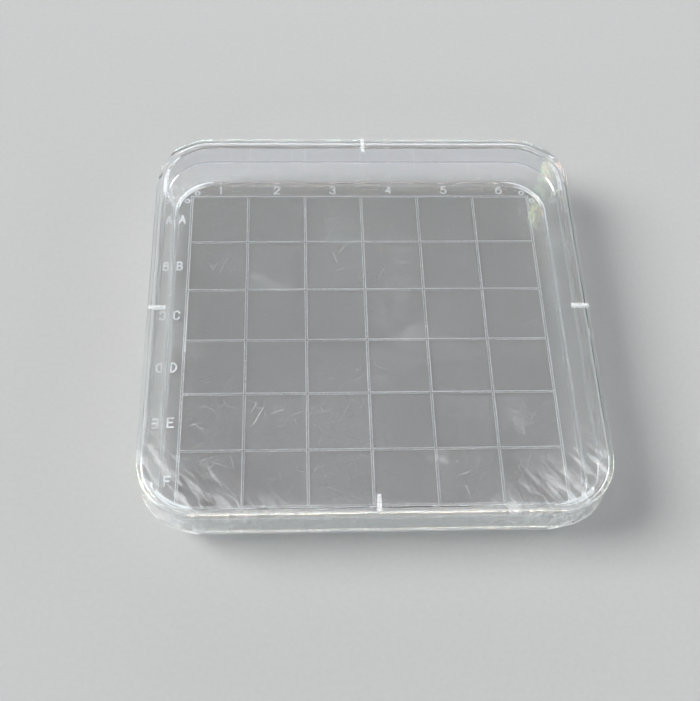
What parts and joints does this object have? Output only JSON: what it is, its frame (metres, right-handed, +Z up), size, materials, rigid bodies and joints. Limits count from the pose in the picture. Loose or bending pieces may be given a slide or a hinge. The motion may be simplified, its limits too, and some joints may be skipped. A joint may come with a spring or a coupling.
{
  "type": "gridded square petri dish",
  "caption": "Shallow clear plastic square dish with a labelled counting grid under its floor and a loose lift-off lid, for growing and counting colonies.",
  "frame": {"origin": "middle of the underside, on the plane of the base dish's foot rim", "axes": "+Z up, +X along the column numbers 1 to 6, +Y towards the wall beside those numbers, the row letters A to F running towards -Y along the -X side"},
  "size_m": [0.1016, 0.1016, 0.0163],
  "materials": {
    "clear_base": "polished",
    "clear_lid": "polished"
  },
  "bodies": {
    "dish": {"base_dish": "clear_base"},
    "cover": {"lid": "clear_lid"}
  },
  "joints": [
    {"name": "lid_lift", "type": "slide", "parent": "dish", "child": "cover", "axis": [0, 0, 1], "range_m": [0, 0.03]}
  ]
}
